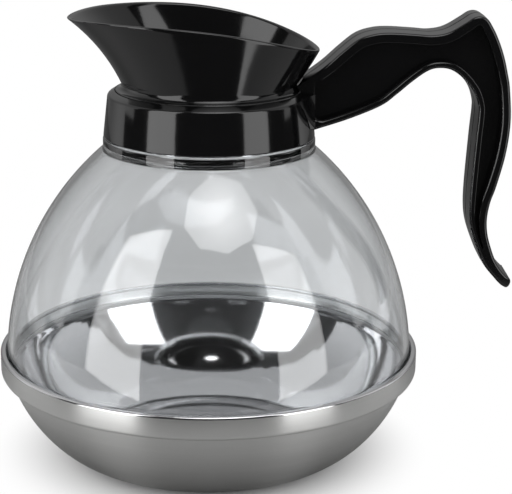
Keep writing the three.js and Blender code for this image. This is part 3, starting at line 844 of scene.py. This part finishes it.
class CARAFE_OT_handle(bpy.types.Operator):
    """Makes the handle: a web between two flanges, with a root that sits on the collar"""

    bl_idname = "carafe.handle"
    bl_label = "Handle"

    def execute(self, context):
        size = context.scene.carafe.handle
        collar = context.scene.carafe.collar
        origin = Vector((collar.radius, collar.bottom))
        back = [origin + p * MM for p in spline(HANDLE_BACK)]
        belly = [origin + p * MM for p in spline(HANDLE_BELLY)]
        body = self.bar(back, belly, size)
        for side in (-1, 1):
            body = combined(body, self.hollow(back, belly, size, collar, side), "DIFFERENCE")
        body = combined(body, self.saddle(size, collar), "UNION")
        for cut in self.root_cuts(size, collar, context.scene.carafe.funnel):
            body = combined(body, cut, "DIFFERENCE")
        bmesh.ops.remove_doubles(body, verts=body.verts, dist=2e-6)
        stray = [vert for vert in body.verts if len(vert.link_edges) == 2]
        bmesh.ops.dissolve_verts(body, verts=stray)
        plastic = gloss_plastic(context.scene.carafe.finish)
        obj = piece("grip_handle", body, "handle", [plastic])
        shading = obj.modifiers.new("Even shading", "WEIGHTED_NORMAL")
        shading.keep_sharp = True
        return {"FINISHED"}

    def root_cuts(self, size, collar, funnel):
        """Room in the root for the collar and funnel, the strap's ears, the nut and the screw."""
        funnel_room, funnel_back = 0.0008, funnel.rim_height - funnel.back_drop
        room = spun([
            (0.0, 0.0), (collar.radius + GAP, 0.0), (collar.radius + GAP, collar.bottom),
            (collar.top_radius + GAP, collar.corner - 2 * GAP),
            (collar.top_radius - GAP, collar.corner + GAP), (collar.mouth, collar.top + GAP),
            (funnel.waist + funnel_room, funnel.waist_height),
            (funnel.waist + funnel.back_flare + funnel_room, funnel_back), (0.0, funnel_back),
        ], closed=False, steps=96)
        low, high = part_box("clamp_strap")
        ears = block((0.0, -EAR_SLOT, low.z - GAP), (high.x + GAP, EAR_SLOT, high.z + GAP))
        low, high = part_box("clamp_nut")
        nut = block((0.0, low.y - GAP, low.z - GAP), (high.x + GAP, 0.0, high.z + GAP))
        hole, bore, middle, half = bmesh.new(), 0.0018, (low + high) / 2, size.width / 2
        bmesh.ops.create_cone(hole, cap_ends=True, segments=32, radius1=bore, radius2=bore, depth=half)
        bmesh.ops.rotate(hole, matrix=Matrix.Rotation(math.pi / 2, 3, "X"), verts=hole.verts)
        bmesh.ops.translate(hole, vec=(middle.x, half / 2, middle.z), verts=hole.verts)
        return room, ears, nut, hole

    def bar(self, back, belly, size):
        """The handle before its hollows, with drafted sides, a parting line and rounded edges."""
        half, radius = size.width / 2, size.outer_round

        def fuller(place, left):
            """Makes up for the rounded edges, but not at the highest place."""
            below = held((HANDLE_HIGH.z - place.y - 0.0006) / 0.006)
            return (0.00022 + 0.0002 * abs(left.y)) * below

        back = shifted(back, fuller)
        belly = shifted(belly, lambda place, left: -fuller(place, left))
        cut, bulge = -4, 0.0026  # where the rounded tail starts on both lines, and how far it bulges
        out = (back[-1] - back[cut] + belly[-1] - belly[cut]).normalized() * bulge
        end = interpolate_bezier(belly[cut], belly[cut] + out, back[cut] + out, back[cut], 13)
        outline = [*belly[:cut], *[point.to_2d() for point in end], *reversed(back[:cut])]

        def slim(place):
            """Less rounding where the bar is thin, and none at its hidden root."""
            across = belly if min((place - p).length for p in back) < 1e-6 else back
            thin = min(1.0, 0.36 * min((place - p).length for p in across) / radius)
            return thin * held((place.x - outline[0].x - 0.001) / 0.003)

        levels = [(0.0, size.parting), (0.0002, size.parting), (0.0006, 0.0)]
        for angle in spread(0, 90, 5):
            aside = half - radius + radius * math.sin(angle)
            levels.append((aside, size.draft * aside / half + radius * (1.0 - math.cos(angle))))
        return moulded(outline, [(-aside, depth) for aside, depth in levels[:0:-1]] + levels, slim)

    def saddle(self, size, collar):
        """Cheeks that spread from the root round the collar."""
        half, wide, drop, rise = size.width / 2, 0.0145, 0.0103, 0.0032
        reach = half + wide
        widest = collar.bottom + 0.0148
        thin, root = collar.top_radius + 0.0001, Vector((collar.radius - 0.0005, half))
        first, last = math.asin(reach / thin), math.atan2(root.y, root.x)
        cheek, steps = [], 20
        for i in range(steps + 1):
            way = i / steps
            turn, radius = first + (last - first) * way, thin + (root.length - thin) * way ** 2
            cheek.append((radius * math.cos(turn), radius * math.sin(turn)))
        plan = [(0.0, reach), *cheek, *[(x, -y) for x, y in reversed(cheek)], (0.0, -reach)]
        upright = slab([(x, y, 0.0) for x, y in plan], (0.0, 0.0, 0.2))
        front = [
            *[(half + wide * math.cos(a), widest + drop * math.sin(a)) for a in spread(-90, 0)],
            *[(half + wide * math.cos(a), widest + rise * math.sin(a)) for a in spread(0, 90)[1:]],
            *[(-half + wide * math.cos(a), widest + rise * math.sin(a)) for a in spread(90, 180)],
            *[(-half + wide * math.cos(a), widest + drop * math.sin(a)) for a in spread(180, 270)[1:]],
        ]
        deep = slab([(0.0, y, z) for y, z in front], (2 * collar.radius, 0.0, 0.0))
        bm = combined(upright, deep, "INTERSECT")
        sharp = [edge for edge in bm.edges if edge.calc_face_angle(0.0) > math.radians(50)]
        bmesh.ops.bevel(
            bm, geom=sharp, offset=size.edge_round, offset_type="OFFSET", affect="EDGES",
            segments=3, profile=0.5, material=-1, clamp_overlap=True,
        )
        return tidied(bm)

    def hollow(self, back, belly, size, collar, side):
        """The hollow on one side of the web, up to where the flanges close, with rounded rim and corners."""
        start, slit, bend = collar.radius - 0.0008, 0.0004, 0.003
        tail, tail_share = HANDLE_LOW.z + 0.0175, 0.78

        def inset(line, depth):
            """The line drawn in by a flange, which thins towards the tail."""

            def thinned(place, left):
                return depth * min(tail_share + max(place.y - tail, 0.0) / 0.1, 1.0)

            return [p for p in shifted(line, thinned) if p.x > start]

        def opened(points, others):
            """The line as far as the hollow stays open."""
            for i, point in enumerate(points):
                if min((point - other).length for other in others) < slit:
                    return points[:i]
            return points

        def corner(line, rise):
            """A rounded way from the collar's side onto a flange."""
            line = [p for p in line if p.x > start + abs(rise)]
            side, meet = Vector((start, line[0].y + rise)), Vector((start, line[0].y))
            curve = interpolate_bezier(side, (side + 2 * meet) / 3, (line[0] + 2 * meet) / 3, line[0], 7)
            return [*[p.to_2d() for p in curve], *line[1:]]

        upper, lower = inset(back, -size.back_flange), inset(belly, size.flange)
        roof, floor = opened(upper, lower), opened(lower, upper)
        outline = [*corner(floor, bend), *reversed(corner(roof, -bend))]
        half, radius, web = size.width / 2, size.inner_round, size.web / 2

        def slim(place):
            """Full rounding behind the grip and along the root, less elsewhere and in narrow places."""
            roofed = any((place - p).length < 1e-6 for p in roof)
            gap = min((place - p).length for p in (floor if roofed else roof))
            away = (place.y - 0.15 if roofed else place.x - 0.085) / 0.012
            part = 1.0 + (size.rim_share - 1.0) * held(away)
            return min(part, 0.3 * gap / radius + 0.02)

        levels = [(web, 0.0), *[
            (half - radius * (1.0 - math.sin(angle)), -radius * (1.0 - math.cos(angle)))
            for angle in spread(0, 90, 4)
        ], (half + 0.00002, -radius), (2 * half, -radius)]
        if side < 0:
            levels = [(-aside, depth) for aside, depth in reversed(levels)]
        return moulded(outline, levels, slim)


# Stage


class CARAFE_OT_stage(bpy.types.Operator):
    """Makes the floor, table sheet, tent, softboxes, world and camera"""

    bl_idname = "carafe.stage"
    bl_label = "Stage"

    def execute(self, context):
        stage = context.scene.carafe.stage
        context.scene.view_settings.view_transform = "Standard"
        self.floor(stage)
        self.world(context)
        self.table_sheet()
        self.tent()
        self.mouth_flag()
        self.softbox(context, "left_softbox", (-0.441, -0.607), (-1.074, -0.412), stage.side_light)
        self.softbox(context, "right_softbox", (0.566, -0.751), (1.306, -0.582), stage.side_light)
        self.octabox(stage)
        self.camera(context, stage)
        return {"FINISHED"}

    def prop(self, name, bm, *materials):
        """A stage object of the mesh."""
        obj = made_object(name, bm, materials)
        return obj

    def only_mirrored(self, obj):
        """Shows a stage object in reflections and through glass alone."""
        obj.visible_camera = False
        obj.visible_diffuse = False
        obj.visible_shadow = False

    def background_rays(self, tree):
        """1 for rays that see the background: from the camera, or by way of metal or glass."""
        path = add_node(tree, "LightPath")
        seen = math_node(tree, "MAXIMUM", path["Is Camera Ray"], path["Is Glossy Ray"])
        return math_node(tree, "MAXIMUM", seen, path["Is Transmission Ray"])

    def fall(self, tree, value, ends, strengths):
        """A strength that changes smoothly between two ends of a value."""
        return add_node(tree, "MapRange", value, *ends, *strengths, interpolation_type="SMOOTHSTEP")["Result"]

    def blend(self, tree, factor, first, second):
        return add_node(tree, "Mix", factor, None, first, second)[0]

    def matt(self, name, tint):
        material = new_material(name)
        shader = shader_of(material)
        shader.inputs["Base Color"].default_value = (*tint, 1.0)
        shader.inputs["Roughness"].default_value = 1.0
        shader.inputs["Specular IOR Level"].default_value = 0.0
        return material

    def glow(self, name):
        material = new_material(name)
        tree = material.node_tree
        tree.links.new(add_node(tree, "Emission")[0], tree.nodes["Material Output"].inputs["Surface"])
        return material

    def shine(self, material, strength):
        """Sets how strongly a glowing material shines from place to place."""
        tree = material.node_tree
        tree.links.new(strength, tree.nodes["Emission"].inputs["Strength"])

    def floor(self, stage):
        """A wide floor that turns white round the carafe, beyond its shadow."""
        bm = bmesh.new()
        bmesh.ops.create_circle(bm, cap_ends=True, segments=96, radius=3.0)
        bmesh.ops.translate(bm, vec=(0.0, 0.0, -0.0004), verts=bm.verts)
        material = self.matt("pale_floor", stage.floor_colour)
        tree = material.node_tree
        reach = vector_node(tree, "LENGTH", object_place(tree))["Value"]
        away = self.fall(tree, reach, (0.045, 0.092), (0.0, 1.0))
        fade = math_node(tree, "MULTIPLY", away, self.background_rays(tree))
        mix_surface(tree, fade, shader_of(material).outputs[0], add_node(tree, "Emission")[0])
        floor = self.prop("floor", bm, material)
        floor.visible_glossy = False
        floor.visible_transmission = False

    def world(self, context):
        """A dim world for light, and a white one for what is seen."""
        world = bpy.data.worlds.new("studio")
        context.scene.world = world
        world.use_nodes = True
        tree = world.node_tree
        dim = tree.nodes["Background"]
        dim.inputs["Color"].default_value = (1.0, 1.0, 1.0, 1.0)
        dim.inputs["Strength"].default_value = 0.35
        white = add_node(tree, "Background", (1.0, 1.0, 1.0, 1.0), 1.0)[0]
        mix_surface(tree, self.background_rays(tree), dim.outputs[0], white, "World Output")

    def table_sheet(self):
        """The grey table that steel, plastic and glass show. Through glass it is paler towards the back; in
        reflections it is a little darker in front, much darker towards the back, and darkened round the
        carafe's foot by painted shade.
        """
        bm = bmesh.new()
        bmesh.ops.create_grid(bm, x_segments=1, y_segments=1, size=0.5)
        bmesh.ops.scale(bm, vec=(1.1, 1.53, 1.0), verts=bm.verts)
        bmesh.ops.translate(bm, vec=(0.0, 0.515, -0.0002), verts=bm.verts)
        material = self.matt("grey_sheet", (0.5, 0.5, 0.5))
        tree = material.node_tree
        place = object_place(tree)
        back = add_node(tree, "SeparateXYZ", place)["Y"]
        near = self.fall(tree, back, (-0.03, 0.1), (0.52, 0.75))
        far = self.fall(tree, back, (0.25, 0.45), (1.0, 1.2))
        through = math_node(tree, "MULTIPLY", near, far)
        front = self.fall(tree, back, (-0.25, -0.03), (0.48, 0.58))
        rear = self.fall(tree, back, (0.0, 0.2), (1.0, 0.4))
        reach = vector_node(tree, "LENGTH", place)["Value"]
        # painted contact shade: the sheet is darkened towards the carafe's foot, as reflections show it
        painted_contact_shade = self.fall(tree, reach, (0.05, 0.13), (0.34, 1.0))
        mirrored = math_node(tree, "MULTIPLY", math_node(tree, "MULTIPLY", front, rear), painted_contact_shade)
        grey = self.blend(tree, add_node(tree, "LightPath")["Is Transmission Ray"], mirrored, through)
        tree.links.new(grey, shader_of(material).inputs["Base Color"])
        self.only_mirrored(self.prop("table_sheet", bm, material))

    def tent(self):
        """Pale cloth round the sides and back, and a dim studio in front."""
        bm = bmesh.new()
        bmesh.ops.create_uvsphere(bm, u_segments=96, v_segments=64, radius=2.0)
        for face in bm.faces:
            x, y, z = face.calc_center_median()
            low = 0.5 if z < 0.09 else 0.02 - max(z - 0.2, 0.0)
            high = -0.05 - 0.1 * z - 0.2 * max(x, 0.0) - 2.5 * max(z - 1.8, 0.0)
            face.material_index = 1 if y < max(low, high) else 0
        cloth, dim = self.glow("tent_cloth"), self.glow("dim_studio")
        tree = cloth.node_tree
        place = object_place(tree)
        way = vector_node(tree, "NORMALIZE", off_axis(tree, place))[0]
        behind = self.fall(tree, add_node(tree, "SeparateXYZ", way)["Y"], (0.3, 0.8), (0.0, 1.0))
        height = add_node(tree, "SeparateXYZ", place)["Z"]
        sides = self.fall(tree, height, (0.2, 1.3), (1.0, 0.62))
        back = self.fall(tree, height, (0.3, 1.4), (0.25, 0.72))
        self.shine(cloth, self.blend(tree, behind, sides, back))
        mirrors = add_node(dim.node_tree, "LightPath")["Glossy Depth"]
        self.shine(dim, self.fall(dim.node_tree, mirrors, (0.0, 1.0), (0.5, 0.05)))
        self.only_mirrored(self.prop("tent", bm, cloth, dim))

    def mouth_flag(self):
        """A black ring in the neck, seen only in reflections, which keeps the octabox out of the bowl: it
        paints a dark reflection of the neck in the bowl.
        """
        bm = bmesh.new()
        bmesh.ops.create_circle(bm, segments=48, radius=0.005)
        bmesh.ops.translate(bm, vec=(-0.002, 0.0035, 0.0), verts=bm.verts)
        bmesh.ops.create_circle(bm, segments=48, radius=0.032)
        bmesh.ops.bridge_loops(bm, edges=bm.edges)
        bmesh.ops.translate(bm, vec=(0.0, 0.0, 0.15), verts=bm.verts)
        self.only_mirrored(self.prop("mouth_flag", bm, self.matt("black_flag", (0.01, 0.01, 0.01))))

    def softbox(self, context, name, start, end, power):
        """An upright panel between two places, facing the carafe."""
        start, end = Vector(start), Vector(end)
        light = bpy.data.lights.new(name, "AREA")
        light.shape = "RECTANGLE"
        light.size, light.size_y = (end - start).length, 1.5
        light.energy = power
        lamp = bpy.data.objects.new(name, light)
        context.scene.collection.objects.link(lamp)
        middle = (start + end) / 2
        across = (end - start).normalized()
        away = Vector((across.y, -across.x, 0.0))
        if away.xy.dot(middle) < 0:
            away.negate()
        lamp.location = (middle.x, middle.y, 0.355)
        lamp.rotation_euler = away.to_track_quat("Z", "Y").to_euler()
        lamp.visible_camera = False

    def octabox(self, stage):
        """An eight-sided softbox over the front, brightest in its middle."""
        centre, target, radius = Vector((0.107, -0.414, 0.934)), Vector((0.004, -0.055, 0.115)), 0.37
        way = (target - centre).normalized()
        bm = bmesh.new()
        bmesh.ops.create_circle(bm, cap_ends=True, segments=8, radius=radius)
        bmesh.ops.scale(bm, vec=(1.0, 0.82, 1.0), verts=bm.verts)
        place = Matrix.Translation(centre) @ way.to_track_quat("Z", "Y").to_matrix().to_4x4()
        bmesh.ops.transform(bm, matrix=place, verts=bm.verts)
        cloth = self.glow("softbox_cloth")
        tree = cloth.node_tree
        reach = vector_node(tree, "DISTANCE", object_place(tree), centre)["Value"]
        self.shine(cloth, self.fall(tree, reach, (0.0, radius), (stage.top_light, stage.top_light * 0.5)))
        box = self.prop("octabox", bm, cloth)
        box.visible_camera = False
        box.visible_shadow = False

    def camera(self, context, stage):
        data = bpy.data.cameras.new("camera")
        data.sensor_width = 36.0
        data.lens = stage.lens
        camera = bpy.data.objects.new("camera", data)
        context.scene.collection.objects.link(camera)
        turn = (
            Matrix.Rotation(-stage.swing, 3, "Z")
            @ Matrix.Rotation(math.pi / 2 - stage.tilt, 3, "X")
            @ Matrix.Rotation(stage.roll, 3, "Z")
        )
        camera.location = (0.0, -0.6437, 0.269)
        camera.rotation_euler = turn.to_euler()
        context.scene.camera = camera


class CARAFE_PT_panel(bpy.types.Panel):
    """Lists the steps that make the carafe"""

    bl_label = "Coffee Carafe"
    bl_idname = "CARAFE_PT_panel"
    bl_space_type = "VIEW_3D"
    bl_region_type = "UI"
    bl_category = "Carafe"

    def draw(self, context):
        for operator in OPERATORS:
            self.layout.operator(operator.bl_idname)


OPERATORS = (
    CARAFE_OT_bowl,
    CARAFE_OT_band,
    CARAFE_OT_seal_rings,
    CARAFE_OT_dome,
    CARAFE_OT_clamp,
    CARAFE_OT_collar,
    CARAFE_OT_funnel,
    CARAFE_OT_handle,
    CARAFE_OT_stage,
)
SETTINGS = (
    BaseSizes, DomeSizes, CollarSizes, FunnelSizes, HandleSizes, Finishes, StageSettings, CarafeSettings,
)


def register():
    for item in (*SETTINGS, *OPERATORS, CARAFE_PT_panel):
        bpy.utils.register_class(item)
    bpy.types.Scene.carafe = PointerProperty(type=CarafeSettings)


def unregister():
    del bpy.types.Scene.carafe
    for item in reversed((*SETTINGS, *OPERATORS, CARAFE_PT_panel)):
        bpy.utils.unregister_class(item)


def main():
    register()
    bpy.ops.carafe.stage()
    bpy.ops.carafe.bowl()
    bpy.ops.carafe.band()
    bpy.ops.carafe.seal_rings()
    bpy.ops.carafe.dome()
    bpy.ops.carafe.clamp()
    bpy.ops.carafe.collar()
    bpy.ops.carafe.funnel()
    bpy.ops.carafe.handle()


if __name__ == "__main__":
    main()
